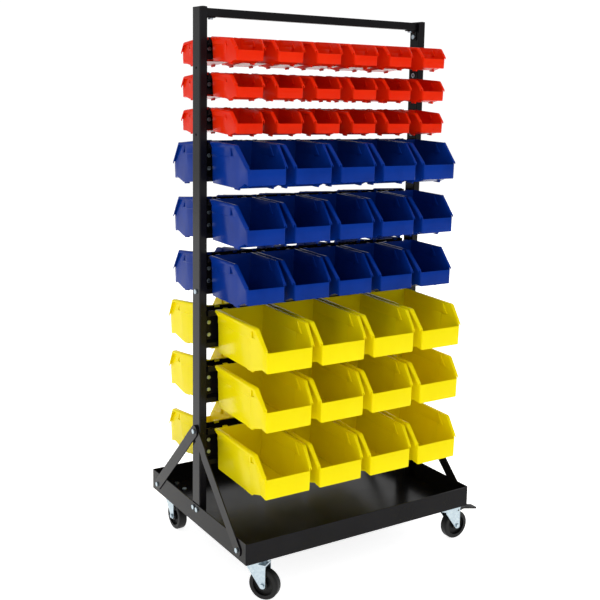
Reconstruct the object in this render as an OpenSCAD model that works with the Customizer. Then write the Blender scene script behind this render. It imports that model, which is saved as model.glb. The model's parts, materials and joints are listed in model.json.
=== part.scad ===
// Mobile parts bin rack: a wheeled tray, two uprights and nine double-sided rows of hanging bins.
// Millimetres. X runs along the tray, -Y is the front, Z is up from the floor under the tray's middle.

/* [Tray] */
// Length of the tray, along X
tray_l = 672; // [640:1:760]
// Depth of the tray, along Y
tray_d = 536; // [520:1:620]
// Height of the tray's walls
tray_h = 52; // [48:1:70]
// Thickness of the tray's sheet
sheet_t = 2; // [1.5:0.5:3]

/* [Frame] */
// Height of the uprights' tubes above the floor
frame_top = 1374; // [1365:1:1450]
// Width of an upright, along X
tube_w = 20; // [18:1:26]
// Depth of an upright, along Y
tube_d = 40; // [36:1:50]
// Wall of the tubes
tube_wall = 1.6; // [1.2:0.1:2.5]
// Height of the top bar, which is a square tube
bar_h = 20; // [18:1:26]
// Width of a strap brace
strap_w = 30; // [24:1:34]
// Thickness of a strap brace
strap_t = 3; // [2:0.5:4]
// Height of the braces' upper bolt above the tray's rim
strap_rise = 191; // [150:1:195]
// Distance between the two accessory holes of an upright
hole_pitch = 157; // [150:1:165]

/* [Rails] */
// Depth of the top rail's edge below the tops of the uprights
first_drop = 68; // [60:1:76]
// Height of the rails that carry the small bins
small_rail_h = 50; // [48:1:56]
// Height of the rails that carry the medium and the large bins
tall_rail_h = 95; // [88:1:100]
// Distance between two rows of small bins
small_row_pitch = 82.5; // [80:0.5:86]
// Distance from the last row of small bins to the first row of medium bins
medium_step = 79; // [77:1:88]
// Distance between two rows of medium bins
medium_row_pitch = 137.5; // [130:0.5:145]
// Distance from the last row of medium bins to the first row of large bins
large_step = 135; // [130:1:145]
// Distance between the upper two rows of large bins
large_row_pitch = 140; // [136:1:150]
// Distance between the lowest two rows of large bins
last_row_pitch = 161.5; // [150:0.5:170]
// Height of the lowest rail's edge above the tray's rim, which the rows above it are spread down to
last_rail_rise = 197.5; // [180:0.5:215]
// Thickness of the rails' sheet
rail_t = 2; // [1.5:0.5:2.5]

/* [Small bins] */
// Bins in one row
small_count = 6; // [4:1:7]
// Width over the rim
small_width = 84; // [76:1:94]
// Width of the front wall
small_front = 69; // [62:0.5:74]
// Depth from the back to the front lip
small_depth = 121; // [115:1:130]
// Height with the feet
small_height = 60; // [56:1:64]
// Length of the level part of the rim
small_rim = 96; // [86:1:100]
// Drop from the rim to the front lip
small_drop = 26; // [22:1:30]
// Radius of the front corners
small_corner = 5; // [4:1:8]

/* [Medium bins] */
// Bins in one row
medium_count = 5; // [3:1:5]
// Width over the rim
medium_width = 119; // [108:1:123]
// Width of the front wall
medium_front = 98.5; // [90:0.5:104]
// Depth from the back to the front lip
medium_depth = 176; // [167:1:189]
// Height with the feet
medium_height = 104; // [97:1:109]
// Length of the level part of the rim
medium_rim = 124; // [112:1:132]
// Drop from the rim to the front lip
medium_drop = 52; // [46:1:56]
// Radius of the front corners
medium_corner = 5; // [4:1:8]

/* [Large bins] */
// Bins in one row
large_count = 4; // [2:1:4]
// Width over the rim
large_width = 145; // [134:1:148]
// Width of the front wall
large_front = 122.5; // [112:0.5:128]
// Depth from the back to the front lip
large_depth = 240; // [228:1:252]
// Height with the feet
large_height = 114; // [106:1:118]
// Length of the level part of the rim
large_rim = 198; // [188:1:208]
// Drop from the rim to the front lip
large_drop = 49; // [44:1:54]
// Radius of the front corners
large_corner = 4; // [4:1:8]

/* [Casters] */
// Height from the floor to the tray's underside
caster_h = 101; // [101:1:112]
// Diameter of a wheel
wheel_d = 75; // [70:1:76]
// Width of a wheel's tread
wheel_w = 23; // [20:1:24]
// Distance of a wheel's axle behind its swivel axis
caster_trail = 29; // [24:1:30]
// Distance of a swivel axis from the tray's ends
caster_inset_x = 42; // [40:1:52]
// Distance of a swivel axis from the tray's front and rear
caster_inset_y = 38; // [36:1:48]

/* [Hidden] */
$fn = 48;

// Colours
frame_black = [0.10, 0.10, 0.11];
zinc = [0.72, 0.77, 0.80];
tyre_black = [0.05, 0.05, 0.05];
small_red = [0.86, 0.16, 0.06];
medium_blue = [0.10, 0.24, 0.56];
large_yellow = [0.92, 0.86, 0.12];

// Frame places
tray_z = caster_h;
rim_z = tray_z + tray_h;
floor_z = tray_z + sheet_t;
upright_x = tray_l / 2 - sheet_t;
clear_x = upright_x - tube_w;
tube_r = 2.5;
cap_h = 3;
strap_top_z = rim_z + strap_rise;
strap_foot_rise = 23.5;
strap_foot_z = tray_z + strap_foot_rise;
strap_foot_inset = 40;
strap_foot_y = tray_d / 2 - strap_foot_inset;
joggle = 12;
foot_bolt_y = tube_d / 4;
foot_bolt_drop = 12;
foot_bolt_z = rim_z - foot_bolt_drop;
hole_r = 3.3;
bolt_r = 3;
head_r = 6;
head_h = 3.5;
nut_h = 5;
nut_r = 5.8;
axle_head_r = 5.5;
axle_nut_r = 7;
bracket_t = 2.5;
screw_along = 17;

// Rows: rail tops, and which size each row has
ear_t = 3;
ear_l = 22;
lip_gap = 22;
lip_h = 13;
lip_fold = 7;
skirt_gap = 12;
skirt_h = 12;
skirt_fold = 6;
rail_end_gap = 0.5;
rail_bolt_inset = 12;
rail_bolt_x = clear_x - rail_bolt_inset;
rail_head_r = 5;
ear_margin = 6;
weld_in = 0.5;
row_steps = [0, small_row_pitch, small_row_pitch, medium_step, medium_row_pitch, medium_row_pitch, large_step,
  large_row_pitch, last_row_pitch];
function row_drop(i) = i == 0 ? 0 : row_drop(i - 1) + row_steps[i];
row_spread = (frame_top - first_drop - rim_z - last_rail_rise) / row_drop(8);
function rail_top(i) = frame_top - first_drop - row_drop(i) * row_spread;
function row_size(i) = floor(i / 3);
function rail_h(i) = row_size(i) == 0 ? small_rail_h : tall_rail_h;
function web_mid(i) = (lip_h + lip_fold + rail_h(i) - skirt_h - skirt_fold) / 2;
tall_bolt_pitch = 31;
function bolt_drops(i) = row_size(i) == 0 ? [web_mid(i)]
  : [web_mid(i) - tall_bolt_pitch / 2, web_mid(i) + tall_bolt_pitch / 2];

// Accessory holes above the second row's rails and below, and the bolt above the first row of large bins
hole_over_rail = 11.5;
hole_top_z = rail_top(1) + hole_over_rail;
hole_z = [hole_top_z, hole_top_z - hole_pitch * row_spread];
cross_bolt_over_rail = 46;
cross_bolt_z = rail_top(6) + cross_bolt_over_rail;

// Free space at each end of a row, and how far its bins lean nose-down on the front and on the rear
small_margin = 4.5;
medium_margin = 3;
large_margin = 18;
small_lean = [3.5, 5.5];
medium_lean = [1.2, 5.5];
large_lean = [1.8, 6];

// Rim beyond the side walls at the back of a bin
small_flange = 4;
medium_flange = 5;
large_flange = 8;

// Bins that fit in a row: the number asked for, or fewer between uprights that stand closer together
bin_gap = 1;
function fitting(count, width, margin) =
  min(count, floor((2 * (clear_x - margin) + bin_gap) / (width + bin_gap)));

// Bins, by size: count, depth, height, level rim, drop, corner radius, margin, colour, width,
// leans, front, flange
sizes = [
  [fitting(small_count, small_width, small_margin), small_depth, small_height, small_rim, small_drop,
    small_corner,
    small_margin, small_red, small_width, small_lean, small_front, small_flange],
  [fitting(medium_count, medium_width, medium_margin), medium_depth, medium_height, medium_rim, medium_drop,
    medium_corner, medium_margin, medium_blue, medium_width, medium_lean, medium_front, medium_flange],
  [fitting(large_count, large_width, large_margin), large_depth, large_height, large_rim, large_drop,
    large_corner,
    large_margin, large_yellow, large_width, large_lean, large_front, large_flange]];
function pitch(s) = (2 * (clear_x - s[6]) - s[8]) / (s[0] - 1);
function bin_x(s, k) = (k - (s[0] - 1) / 2) * pitch(s);
wall = 2;
lip_w = 5;
turn_back = 35;
flange_t = 2.2;
rim_skirt = 7;
skirt_t = 1.8;
draft = 4;
foot_h = 3.5;
foot_w = 5;
hang_gap = 2;
hook_gap = 0.3;
hook_t = 2.2;
hook_h = 7;
hook_span = [0.55, 0.75];
rest_gap = 0.2;
base_share = 0.7;
recess_share = 0.9;
rise_share = 0.11;
recess_rise = 1.3;
step_share = 0.3;
foot_share = 0.12;
pocket_share = 0.18;
pocket_back = 28;
pocket_t = 4;
bin_back = ear_t / 2 + lip_gap + rail_t + hang_gap;
rim_over_rail = flange_t + rest_gap;

// Casters: side in X, side in Y, direction of the trail, brake
casters = [[-1, -1, -55, false], [1, -1, 0, true], [-1, 1, -88, false], [1, 1, 0, true]];
caster_x = tray_l / 2 - caster_inset_x;
caster_y = tray_d / 2 - caster_inset_y;
plate_w = 66;
plate_t = 3;
plate_hole = 24;
race_r = 23;
race_h = 4;
run_gap = 0.3;
cup_h = 4.2;
king_r = 6;
king_head_r = 9;
king_head_h = 3;
fit_gap = 0.05;
crown_t = 4.5;
leg_t = 2.5;
fork_gap = wheel_w + 5;
fork_y = fork_gap / 2 + leg_t;
axle_r = 4;
axle_z = wheel_d / 2;
race_z = caster_h - plate_t - race_h;
cup_z = race_z - run_gap;
crown_z = cup_z - cup_h;
fork_front = 10;
eye_r = 8;
fork_back = caster_trail + eye_r;
pedal_pin_r = 2.5;
pedal_boss_r = 4;
pedal_x = fork_back - 6;
pedal_z = crown_z - crown_t - pedal_boss_r - run_gap;
pedal_l = 100;
pedal_w = 22;
shoe_gap = 0.6;

// Rectangle of size a by b with round corners, centred
module round_rect(a, b, r) {
  square([a - 2 * r, b], center = true);
  square([a, b - 2 * r], center = true);
  for (x = [-1, 1], y = [-1, 1])
    translate([x * (a / 2 - r), y * (b / 2 - r)]) circle(r);
}

// Outline given as [y, z] points, drawn from x0 to x1
module along_x(x0, x1) {
  translate([x0, 0, 0]) rotate([90, 0, 90]) linear_extrude(x1 - x0) children();
}

// Cylinder along X from x0 to x1
module rod_x(r, x0, x1) {
  translate([x0, 0, 0]) rotate([0, 90, 0]) cylinder(r = r, h = x1 - x0);
}

// Cylinder along Y from y0 to y1
module rod_y(r, y0, y1) {
  translate([0, y1, 0]) rotate([90, 0, 0]) cylinder(r = r, h = y1 - y0);
}

// Bolt along +X from a head whose seat is at x = 0 to its tip, with a nut whose seat is at x = grip
module bolt_x(grip, nut = true) {
  rod_x(head_r, -head_h, 0);
  rod_x(bolt_r, -head_h, grip + (nut ? nut_h + 2 : 0));
  if (nut) translate([grip, 0, 0]) rotate([0, 90, 0]) cylinder(r = nut_r, h = nut_h, $fn = 6);
}

// Tray: a folded sheet with a floor, four walls and holes for the bolts
module base_tray() {
  color(frame_black)
  difference() {
    translate([0, 0, tray_z]) linear_extrude(tray_h) round_rect(tray_l, tray_d, 4);
    translate([0, 0, floor_z]) linear_extrude(tray_h)
      round_rect(tray_l - 2 * sheet_t, tray_d - 2 * sheet_t, 4 - sheet_t);
    for (s = [-1, 1], y = [-1, 1]) {
      translate([s * tray_l / 2, y * foot_bolt_y, foot_bolt_z]) rod_x(hole_r, -8, 8);
      translate([s * tray_l / 2, y * strap_foot_y, strap_foot_z]) rod_x(hole_r, -8, 8);
    }
    for (c = casters) caster_holes(c);
  }
}

// The four bolt holes of one caster
module caster_holes(c) {
  for (x = [-1, 1], y = [-1, 1])
    translate([c[0] * caster_x + x * plate_hole, c[1] * caster_y + y * plate_hole, caster_h - 2 * plate_t])
      cylinder(r = hole_r, h = 4 * plate_t);
}

// Upright of one side: tube, welded ears for the rails, and cross holes
module upright(s) {
  color(frame_black)
  difference() {
    union() {
      translate([s * (upright_x - tube_w / 2), 0, floor_z]) linear_extrude(frame_top - floor_z) difference() {
        round_rect(tube_w, tube_d, tube_r);
        round_rect(tube_w - 2 * tube_wall, tube_d - 2 * tube_wall, tube_r - tube_wall / 2);
      }
      for (i = [0:8]) ear(s, i);
    }
    for (z = hole_z) translate([s * upright_x, 0, z]) rod_x(hole_r, -tube_w - 1, tube_w + 1);
    for (z = [cross_bolt_z, strap_top_z]) translate([s * upright_x, 0, z]) rod_x(hole_r, -6, 6);
    for (y = [-1, 1]) translate([s * upright_x, y * foot_bolt_y, foot_bolt_z]) rod_x(hole_r, -6, 6);
    translate([s * clear_x, 0, frame_top - bar_h - screw_along]) rod_x(hole_r, -6, 6);
    for (i = [0:8], d = bolt_drops(i))
      translate([s * rail_bolt_x, 0, rail_top(i) - d]) rod_y(hole_r, -ear_t, ear_t);
  }
}

// Welded ear of row i on the upright of side s
module ear(s, i) {
  h = rail_h(i) - 2 * ear_margin;
  x0 = s > 0 ? clear_x - ear_l : -clear_x - weld_in;
  translate([x0, -ear_t / 2, rail_top(i) - ear_margin - h]) cube([ear_l + weld_in, ear_t, h]);
}

module left_upright() upright(-1);
module right_upright() upright(1);

// Bar between the tops of the uprights
module top_bar() {
  color(frame_black)
  difference() {
    translate([-clear_x, 0, frame_top - bar_h / 2]) rotate([90, 0, 90]) linear_extrude(2 * clear_x)
      difference() {
      round_rect(bar_h, bar_h, tube_r);
      round_rect(bar_h - 2 * tube_wall, bar_h - 2 * tube_wall, tube_r - tube_wall / 2);
    }
    for (s = [-1, 1]) translate([s * (clear_x - screw_along), 0, frame_top - bar_h - 1])
      cylinder(r = hole_r, h = 4);
  }
}

// Domed plugs in the open tops of the uprights
module upright_caps() {
  plug_gap = 0.1;
  plug_h = 12;
  dome_r = 40;
  color(tyre_black)
  for (s = [-1, 1]) translate([s * (upright_x - tube_w / 2), 0, frame_top]) {
    intersection() {
      linear_extrude(cap_h) round_rect(tube_w, tube_d, tube_r);
      translate([0, 0, cap_h - dome_r]) rod_y(dome_r, -tube_d, tube_d);
    }
    translate([0, 0, -plug_h]) linear_extrude(plug_h + 1)
      round_rect(tube_w - 2 * tube_wall - 2 * plug_gap, tube_d - 2 * tube_wall - 2 * plug_gap,
        tube_r - tube_wall / 2);
  }
}

// Angles under the ends of the top bar
module bar_brackets() {
  leg = 26;
  width = 18;
  thick = bracket_t;
  web = screw_along - head_r - 1;
  color(frame_black)
  for (s = [-1, 1]) mirror([s > 0 ? 1 : 0, 0, 0]) translate([-clear_x, 0, frame_top - bar_h])
    difference() {
      union() {
        translate([0, -width / 2, -leg]) cube([thick, width, leg]);
        translate([0, -width / 2, -thick]) cube([leg, width, thick]);
        translate([0, thick / 2, 0]) rotate([90, 0, 0]) linear_extrude(thick)
          polygon([[0, 0], [web, 0], [0, -web]]);
      }
      translate([0, 0, -screw_along]) rod_x(hole_r, -1, thick + 1);
      translate([screw_along, 0, -thick - 1]) cylinder(r = hole_r, h = thick + 2);
    }
}

// Screws that hold the angles
module bracket_screws() {
  grip = bracket_t + tube_wall + 4;
  color(zinc)
  for (s = [-1, 1]) mirror([s > 0 ? 1 : 0, 0, 0]) translate([-clear_x, 0, frame_top - bar_h]) {
    translate([bracket_t, 0, -screw_along]) rotate([0, 0, 180]) bolt_x(grip, false);
    translate([screw_along, 0, -bracket_t]) rotate([0, -90, 0]) bolt_x(grip, false);
  }
}

// Flanged inserts in the inner faces of the uprights, behind the open accessory holes
module insert_nuts() {
  flange_r = 6.5;
  flange_h = 1.2;
  color(zinc)
  for (s = [-1, 1], z = hole_z) mirror([s > 0 ? 1 : 0, 0, 0]) translate([-clear_x, 0, z])
    difference() {
      rod_x(flange_r, 0, flange_h);
      rod_x(hole_r, -1, flange_h + 1);
    }
}

// Strap of the side sx and the end sy, with a joggle below its upper end
module brace(sx, sy) {
  run = [strap_foot_y, strap_top_z - strap_foot_z];
  len = norm(run);
  lean = atan2(run[1], run[0]);
  x_low = sheet_t;
  x_high = sy < 0 ? 0 : strap_t;
  k0 = len - strap_w * 2;
  color(frame_black)
  mirror([sx > 0 ? 1 : 0, 0, 0]) mirror([0, sy > 0 ? 1 : 0, 0])
  translate([-upright_x, -strap_foot_y, strap_foot_z]) rotate([lean, 0, 0]) difference() {
    intersection() {
      rotate([0, 0, 90]) translate([0, 0, -strap_w]) linear_extrude(2 * strap_w) polygon([
        [-strap_w, x_low], [k0 - joggle, x_low], [k0, x_high], [len + strap_w, x_high],
        [len + strap_w, x_high + strap_t], [k0, x_high + strap_t], [k0 - joggle, x_low + strap_t],
        [-strap_w, x_low + strap_t]]);
      along_x(-20, 20) {
        translate([0, -strap_w / 2]) square([len, strap_w]);
        for (y = [0, len]) translate([y, 0]) circle(strap_w / 2);
      }
    }
    for (y = [0, len]) translate([0, y, 0]) rod_x(hole_r, -20, 20);
  }
}

module left_front_brace() brace(-1, -1);
module left_rear_brace() brace(-1, 1);
module right_front_brace() brace(1, -1);
module right_rear_brace() brace(1, 1);

// Bolts of the braces: one at each lower end, and one through both upper ends into the upright
module brace_bolts() {
  color(zinc)
  for (s = [-1, 1]) mirror([s > 0 ? 1 : 0, 0, 0]) {
    translate([-upright_x - 2 * strap_t, 0, strap_top_z]) bolt_x(2 * strap_t + tube_wall + 8, false);
    for (y = [-1, 1]) translate([-tray_l / 2 - strap_t, y * strap_foot_y, strap_foot_z])
      bolt_x(strap_t + sheet_t);
  }
}

// Bolts between the tray's end walls and the uprights' feet
module foot_bolts() {
  color(zinc)
  for (s = [-1, 1], y = [-1, 1]) mirror([s > 0 ? 1 : 0, 0, 0])
    translate([-tray_l / 2, y * foot_bolt_y, foot_bolt_z]) bolt_x(sheet_t + tube_wall + 8, false);
}

// Bolts in the uprights' outer faces below the rows of medium bins
module cross_bolts() {
  color(zinc)
  for (s = [-1, 1]) mirror([s > 0 ? 1 : 0, 0, 0])
    translate([-upright_x, 0, cross_bolt_z]) bolt_x(tube_wall + 8, false);
}

// Section of a rail of height h: distance out from the ear, and height below the rail's top
module rail_section(h) {
  t = rail_t;
  g = lip_gap;
  k = skirt_gap;
  top = lip_h + lip_fold;
  low = h - skirt_h;
  polygon([[g, 0], [g + t, 0], [g + t, -lip_h], [t, -top], [t, -low + skirt_fold], [k + t, -low],
    [k + t, -h], [k, -h], [k, -low - t / 2], [0, -low + skirt_fold - t / 2], [0, -top + t], [g, -lip_h + t]]);
}

// Front rails of the three rows of one size; the rear ones are the same, turned round
module rails(size) {
  color(frame_black)
  for (i = [3 * size:3 * size + 2]) difference() {
    translate([-clear_x + rail_end_gap, -ear_t / 2, rail_top(i)])
      rotate([90, 0, 90]) linear_extrude(2 * (clear_x - rail_end_gap)) mirror([1, 0]) rail_section(rail_h(i));
    for (s = [-1, 1], d = bolt_drops(i))
      translate([s * rail_bolt_x, 0, rail_top(i) - d]) rod_y(hole_r, -ear_t - 2 * rail_t, 0);
  }
}

module front_small_rails() rails(0);
module front_medium_rails() rails(1);
module front_large_rails() rails(2);
module rear_small_rails() rotate([0, 0, 180]) rails(0);
module rear_medium_rails() rotate([0, 0, 180]) rails(1);
module rear_large_rails() rotate([0, 0, 180]) rails(2);

// Places of the bolts that clamp the front and the rear rail of each row on the ears
module at_rail_bolts() {
  for (i = [0:8], s = [-1, 1], d = bolt_drops(i))
    translate([s * rail_bolt_x, 0, rail_top(i) - d]) children();
}

module rail_bolts() {
  grip = ear_t / 2 + rail_t;
  color(zinc) at_rail_bolts() {
    rod_y(rail_head_r, -grip - head_h, -grip);
    rod_y(bolt_r, -grip - 1, grip + nut_h + 1);
  }
}

module rail_nuts() {
  grip = ear_t / 2 + rail_t;
  color(zinc) at_rail_bolts() difference() {
    translate([0, grip + nut_h, 0]) rotate([90, 0, 0]) cylinder(r = nut_r, h = nut_h, $fn = 6);
    rod_y(bolt_r + fit_gap, 0, 2 * grip + nut_h);
  }
}

// One bin at its hanging place: back at y = 0, front at -y, top of the rim at z = 0
module bin(s) {
  half = s[8] / 2;
  d = s[1];
  h = s[2] - foot_h;
  rim = s[3];
  drop = s[4];
  rear_bw = half - s[11];
  front_bw = s[10] / 2;
  turn = rim - turn_back;
  base = base_share * d;
  foot_x = rear_bw - draft - foot_w / 2;
  pocket_bw = rear_bw - (rear_bw - front_bw) * (rim - pocket_back - turn) / (d - s[5] - turn);
  color(s[7])
  difference() {
    union() {
      difference() {
        union() {
          bin_solid(d, h, rim, drop, base, rear_bw, front_bw, turn, s[5], 0);
          bin_rim(d, rim, drop, front_bw - wall, half, front_bw + lip_w);
          for (x = [-1, 1]) {
            bin_hook(x, rear_bw);
            bin_gusset(x, rear_bw, half);
            translate([x * foot_x - foot_w / 2, -base, -h - foot_h])
              cube([foot_w, foot_share * d, foot_h + 1]);
          }
        }
        bin_solid(d, h, rim, drop, base, rear_bw, front_bw, turn, s[5], wall);
      }
      bin_pockets(pocket(rim, h, 1.45), pocket_bw - wall - pocket_t, pocket_bw - wall / 2);
    }
    bin_pockets(pocket(rim, h, 1), pocket_bw - pocket_t, half - skirt_t - 1);
  }
}

// Body of a bin: side outline, front outline and plan outline crossed; inset by a wall for the hollow
module bin_solid(d, h, rim, drop, base, bw, front_bw, turn, r, inset) {
  rise = rise_share * h;
  recess = [-recess_share * d, -h + recess_rise * rise];
  step_z = -step_share * h;
  low = bw - draft;
  off = -inset;
  intersection() {
    along_x(-bw, bw) if (inset > 0) polygon([
        [off, 2], [off, -h + inset + 8], [off - 5, -h + inset], [-base, -h + inset], recess + [0, inset],
        [-d + inset + 3, recess[1] + inset], [-d + inset, recess[1] + inset + 3], [-d + inset, 2]]);
      else polygon([
        [0, 0], [-rim, 0], [-d, -drop], [-d, -h + rise], [-d + wall, -h + rise], [-d + 2 * wall, recess[1]],
        recess, [-base, -h], [-6, -h], [0, -h + 9]]);
    rotate([90, 0, 0]) linear_extrude(d) polygon([
      [-bw - off, 3], [bw + off, 3], [bw + off, step_z], [bw - 1 + off, step_z - 1], [low + off, -h - 1],
      [-low - off, -h - 1], [-bw + 1 - off, step_z - 1], [-bw - off, step_z]]);
    translate([0, 0, -h - 1]) linear_extrude(h + 4) bin_plan(bw + off, front_bw + off, turn, d + off,
      r + off);
  }
}

// Plan of a bin: straight at the back, then drawn in towards a front wall with round corners
module bin_plan(rear, front, turn, d, r) {
  polygon([[-rear, 0], [rear, 0], [rear, -turn], [front, r - d], [-front, r - d], [-rear, -turn]]);
  translate([r - front, -d]) square([2 * (front - r), 2 * r]);
  for (x = [-1, 1]) translate([x * (front - r), r - d]) circle(r);
}

// Rolled rim along both sides, drawn in along the slope: a flat flange with a skirt at its outer edge
module bin_rim(d, rim, drop, inner, half, front) {
  for (x = [0, 1]) mirror([x, 0, 0]) {
    intersection() {
      along_x(inner, half) rim_band(d, rim, drop, flange_t);
      rim_plan(d, [[inner - 1, 0], [half, 0], [half, -rim], [front, -d], [inner - 1, -d]]);
    }
    intersection() {
      along_x(inner, half) rim_band(d, rim, drop, rim_skirt);
      rim_plan(d, [[half - skirt_t, 0], [half, 0], [half, -rim], [front, -d], [front - skirt_t, -d],
        [half - skirt_t, -rim]]);
    }
  }
}

// Plan of the rim, as high as a bin is deep
module rim_plan(d, outline) {
  translate([0, 0, -d]) linear_extrude(d + 1) polygon(outline);
}

// Band of thickness t under the rim's line, level and then down the slope
module rim_band(d, rim, drop, t) {
  slope = atan2(drop, d - rim);
  polygon([[0, 0], [-rim, 0], [-d, -drop], [-d, -drop - t / cos(slope)], [-rim + t * tan(slope / 2), -t],
    [0, -t]]);
}

// Tab of one side at the back that hooks over a rail
module bin_hook(x, half) {
  out = hang_gap + rail_t + hook_gap;
  mirror([x < 0 ? 1 : 0, 0, 0]) along_x(hook_span[0] * half, hook_span[1] * half) polygon([
    [-1, 0], [out + hook_t, 0], [out + hook_t, -hook_h], [out, -hook_h], [out, -flange_t], [-1, -flange_t]]);
}

// Rib under the rim at the back of one side
module bin_gusset(x, inner, half) {
  rib_h = 20;
  translate([0, -3, 0]) rotate([90, 0, 0]) linear_extrude(2.5)
    polygon([[x * (inner - 1), -1], [x * (half - 1), -1], [x * (half - 1), -rim_skirt - 2],
      [x * (inner - 1), -rib_h]]);
}

// Three-cornered outline under the rim's bend, k times its size
function pocket(rim, h, k) = let (
  a = pocket_share * h,
  y = -rim + pocket_back,
  z = -rim_skirt - 2,
  c = [[y, z], [y, z - a], [y - 0.4 * a, z - 0.8 * a]],
  mid = (c[0] + c[1] + c[2]) / 3) [for (p = c) mid + k * (p - mid)];

// That outline on both sides, from x0 to x1
module bin_pockets(outline, x0, x1) {
  for (x = [0, 1]) mirror([x, 0, 0]) along_x(x0, x1) polygon(outline);
}

// Bins first to last of row i, on the front, turned about the rail's edge by their lean
module row(i, first, last, lean) {
  s = sizes[row_size(i)];
  edge = hang_gap + rail_t / 2;
  for (k = [first:1:last]) translate([bin_x(s, k), edge - bin_back, rail_top(i)])
    rotate([lean, 0, 0]) translate([0, -edge, rim_over_rail]) bin(s);
}

module end_bin(i) row(i, 0, 0, sizes[row_size(i)][9][0]);
module other_bins(i) row(i, 1, sizes[row_size(i)][0] - 1, sizes[row_size(i)][9][0]);
module rear_bins(size) rotate([0, 0, 180])
  for (i = [3 * size:3 * size + 2]) row(i, 0, sizes[size][0] - 1, sizes[size][9][1]);

module rear_small_bins() rear_bins(0);
module rear_medium_bins() rear_bins(1);
module rear_large_bins() rear_bins(2);

// Moves the children to the caster c and turns them so that +X is the direction of its trail
module at_caster(c) {
  translate([c[0] * caster_x, c[1] * caster_y, 0]) rotate([0, 0, c[2]]) children();
}

// Top plates with the upper race and the king pin
module caster_plates() {
  pin_z = crown_z - crown_t - run_gap;
  color(zinc)
  for (c = casters) difference() {
    translate([c[0] * caster_x, c[1] * caster_y, 0]) {
      translate([0, 0, caster_h - plate_t]) linear_extrude(plate_t) round_rect(plate_w, plate_w, 6);
      translate([0, 0, race_z]) cylinder(r = race_r, h = race_h + 1);
      translate([0, 0, pin_z - 1]) cylinder(r = king_r, h = race_z - pin_z + 2);
      translate([0, 0, pin_z - king_head_h]) cylinder(r = king_head_r, h = king_head_h);
    }
    caster_holes(c);
  }
}

// Bolts down through the tray's floor and a caster's plate
module caster_bolts() {
  color(zinc)
  for (c = casters, x = [-1, 1], y = [-1, 1])
    translate([c[0] * caster_x + x * plate_hole, c[1] * caster_y + y * plate_hole, floor_z])
      rotate([0, 90, 0]) bolt_x(sheet_t + plate_t);
}

// Side outline of a fork's leg: wide under the crown, with a round eye at the axle
module leg_outline() {
  top = crown_z;
  low = top - 12;
  reach = [caster_trail + fork_front, axle_z - low];
  dist = norm(reach);
  turn = atan2(reach[1], reach[0]) + acos(eye_r / dist) + 180;
  touch = [caster_trail + eye_r * cos(turn), axle_z + eye_r * sin(turn)];
  polygon([[-fork_front, top], [fork_back, top], [fork_back, axle_z], [caster_trail, axle_z], touch,
    [-fork_front, low]]);
  translate([caster_trail, axle_z]) circle(eye_r);
}

// Swivel fork: lower race, crown and two legs
module fork(c) {
  color(zinc) at_caster(c) difference() {
    union() {
      translate([0, 0, crown_z - crown_t]) cylinder(r = race_r + 2, h = cup_z - crown_z + crown_t);
      translate([-fork_front, -fork_y, crown_z - crown_t]) cube([fork_front + fork_back, 2 * fork_y,
        crown_t]);
      for (y = [-fork_y, fork_gap / 2]) translate([0, y + leg_t, 0]) rotate([90, 0, 0])
        linear_extrude(leg_t) leg_outline();
    }
    translate([0, 0, crown_z - 2 * crown_t]) cylinder(r = king_r + fit_gap, h = 4 * crown_t);
    translate([caster_trail, 0, axle_z]) rod_y(axle_r + fit_gap, -2 * fork_y, 2 * fork_y);
    if (c[3]) translate([pedal_x, 0, pedal_z]) rod_y(pedal_pin_r + fit_gap, -2 * fork_y, 2 * fork_y);
  }
}

module front_left_fork() fork(casters[0]);
module front_right_fork() fork(casters[1]);
module rear_left_fork() fork(casters[2]);
module rear_right_fork() fork(casters[3]);

// Wheel with a hub, a thin web and a tread with round shoulders
module wheel(c) {
  hub_r = 12;
  hub_w = fork_gap - 1;
  web_w = 8;
  rim_r = 26;
  shoulder = 5;
  tread = wheel_d / 2;
  color(tyre_black) at_caster(c) translate([caster_trail, 0, axle_z]) rotate([90, 0, 0])
    rotate_extrude($fn = 96) {
    translate([axle_r + fit_gap, -hub_w / 2]) square([hub_r - axle_r - fit_gap, hub_w]);
    translate([hub_r - 1, -web_w / 2]) square([rim_r - hub_r + 2, web_w]);
    translate([rim_r, -wheel_w / 2]) square([tread - shoulder - rim_r, wheel_w]);
    translate([rim_r, -wheel_w / 2 + shoulder]) square([tread - rim_r, wheel_w - 2 * shoulder]);
    for (y = [-1, 1]) translate([tread - shoulder, y * (wheel_w / 2 - shoulder)]) circle(shoulder);
  }
}

module front_left_wheel() wheel(casters[0]);
module front_right_wheel() wheel(casters[1]);
module rear_left_wheel() wheel(casters[2]);
module rear_right_wheel() wheel(casters[3]);

// Axle bolt with its nut
module axle(c) {
  color(zinc) at_caster(c) translate([caster_trail, -fork_y, axle_z]) {
    rod_y(axle_head_r, -head_h, 0);
    rod_y(axle_r, -head_h, 2 * fork_y + nut_h + 2);
    translate([0, 2 * fork_y + nut_h, 0]) rotate([90, 0, 0]) cylinder(r = axle_nut_r, h = nut_h, $fn = 6);
  }
}

module front_left_axle() axle(casters[0]);
module front_right_axle() axle(casters[1]);
module rear_left_axle() axle(casters[2]);
module rear_right_axle() axle(casters[3]);

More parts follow.
